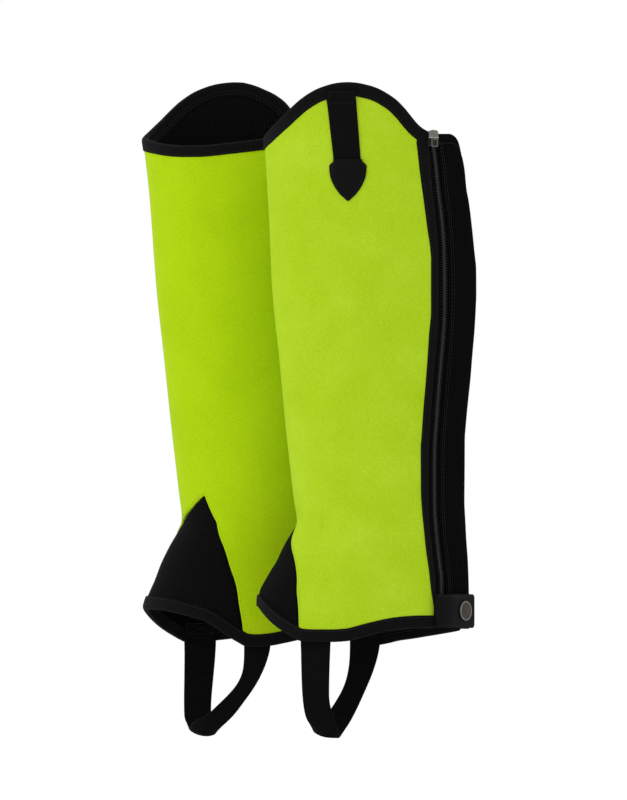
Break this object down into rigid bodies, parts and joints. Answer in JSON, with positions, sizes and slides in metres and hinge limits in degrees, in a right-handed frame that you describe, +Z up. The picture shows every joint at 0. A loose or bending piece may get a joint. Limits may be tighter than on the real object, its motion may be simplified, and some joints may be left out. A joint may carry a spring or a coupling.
{
  "type": "pair of leg gaiters",
  "caption": "Pair of zip-up half chap leg gaiters: lime panels with black binding, ribbed back, instep gusset, stirrup elastic and snap tab.",
  "frame": {"origin": "centre of the left gaiter's foot opening, level with the lower rim of its outer side", "axes": "+Z up the leg, -X towards the toe, -Y towards the left gaiter's outer side; the right gaiter stands at +Y"},
  "size_m": [0.2531, 0.2178, 0.495],
  "materials": {
    "lime_panel": "suede-finish face, soft matt",
    "binding": "folded tape, matt",
    "lining": "ribbed jersey, matt",
    "gusset": "stretch knit, matt",
    "ribbed_elastic": "ribbed stretch weave, matt",
    "zip_tape": "twill tape, matt",
    "zip_coil": "satin",
    "zip_metal": "satin nickel",
    "pull": "satin",
    "stud_metal": "polished rim",
    "webbing": "woven elastic, matt",
    "leather": "fine grain, satin"
  },
  "bodies": {
    "left_gaiter": {"left_inner_panel": "lime_panel", "left_inner_lining": "lining", "left_instep_gusset": "gusset", "left_inner_top_binding": "binding", "left_inner_foot_binding": "binding", "left_back_elastic": "ribbed_elastic", "left_zip_tape_rear": "zip_tape", "left_zip_row_rear": "zip_coil", "left_zip_stop_rear": "zip_metal", "left_zip_box": "zip_coil", "left_snap_stud": "stud_metal", "left_stirrup_ends": "webbing"},
    "left_outer_side": {"left_outer_panel": "lime_panel", "left_outer_lining": "lining", "left_outer_binding": "binding", "left_zip_tape_front": "zip_tape", "left_zip_row_front": "zip_coil", "left_zip_stop_front": "zip_metal", "left_zip_pin": "zip_coil", "left_top_tab": "webbing", "left_spear_patch": "leather"},
    "left_zip_slider": {"left_slider": "zip_metal"},
    "left_zip_pull": {"left_pull_tab": "pull"},
    "left_snap_tab": {"left_snap_tab": "leather", "left_snap_cap": "stud_metal", "left_snap_socket": "stud_metal"},
    "left_stirrup_loop": {"left_stirrup": "webbing"},
    "right_gaiter": {"right_inner_panel": "lime_panel", "right_inner_lining": "lining", "right_instep_gusset": "gusset", "right_inner_top_binding": "binding", "right_inner_foot_binding": "binding", "right_back_elastic": "ribbed_elastic", "right_zip_tape_rear": "zip_tape", "right_zip_row_rear": "zip_coil", "right_zip_stop_rear": "zip_metal", "right_zip_box": "zip_coil", "right_snap_stud": "stud_metal", "right_stirrup_ends": "webbing"},
    "right_outer_side": {"right_outer_panel": "lime_panel", "right_outer_lining": "lining", "right_outer_binding": "binding", "right_zip_tape_front": "zip_tape", "right_zip_row_front": "zip_coil", "right_zip_stop_front": "zip_metal", "right_zip_pin": "zip_coil", "right_top_tab": "webbing", "right_spear_patch": "leather"},
    "right_zip_slider": {"right_slider": "zip_metal"},
    "right_zip_pull": {"right_pull_tab": "pull"},
    "right_snap_tab": {"right_snap_tab": "leather", "right_snap_cap": "stud_metal", "right_snap_socket": "stud_metal"},
    "right_stirrup_loop": {"right_stirrup": "webbing"}
  },
  "joints": [
    {"name": "left_outer_side_opening", "type": "hinge", "parent": "left_gaiter", "child": "left_outer_side", "pos_m": [-0.0242, -0.0506, 0], "axis": [0.034, -0.0109, -0.9994], "range_deg": [0, 100]},
    {"name": "left_zip_slider_travel", "type": "slide", "parent": "left_gaiter", "child": "left_zip_slider", "axis": [0.0118, -0.0028, -0.9999], "range_m": [0, 0.32]},
    {"name": "left_pull_flip", "type": "hinge", "parent": "left_zip_slider", "child": "left_zip_pull", "pos_m": [0.05089, -0.03658, 0.37833], "axis": [-0.8312, -0.5559, -0.0082], "range_deg": [0, 165]},
    {"name": "left_snap_tab_opening", "type": "hinge", "parent": "left_outer_side", "child": "left_snap_tab", "pos_m": [0.0497, -0.0415, 0.022], "axis": [0, 0, -1], "range_deg": [0, 120]},
    {"name": "left_stirrup_swing", "type": "hinge", "parent": "left_gaiter", "child": "left_stirrup_loop", "pos_m": [-0.0227, 0.0005, 0.003], "axis": [0.3986, 0.9171, 0], "range_deg": [-20, 20]},
    {"name": "right_gaiter_apart", "type": "slide", "parent": "left_gaiter", "child": "right_gaiter", "axis": [0, 1, 0], "range_m": [0, 0.2]},
    {"name": "right_outer_side_opening", "type": "hinge", "parent": "right_gaiter", "child": "right_outer_side", "pos_m": [-0.1114, 0.1666, -0.0003], "axis": [-0.0462, -0.0109, 0.9989], "range_deg": [0, 100]},
    {"name": "right_zip_slider_travel", "type": "slide", "parent": "right_gaiter", "child": "right_zip_slider", "axis": [0.024, 0.0028, -0.9997], "range_m": [0, 0.32]},
    {"name": "right_pull_flip", "type": "hinge", "parent": "right_zip_slider", "child": "right_zip_pull", "pos_m": [-0.04094, 0.15258, 0.37893], "axis": [0.831, -0.5559, 0.0184], "range_deg": [0, 165]},
    {"name": "right_snap_tab_opening", "type": "hinge", "parent": "right_outer_side", "child": "right_snap_tab", "pos_m": [-0.03777, 0.1575, 0.02261], "axis": [-0.0122, 0, 0.9999], "range_deg": [0, 120]},
    {"name": "right_stirrup_swing", "type": "hinge", "parent": "right_gaiter", "child": "right_stirrup_loop", "pos_m": [-0.10994, 0.1155, 0.00272], "axis": [-0.3986, 0.9171, -0.0049], "range_deg": [-20, 20]}
  ]
}
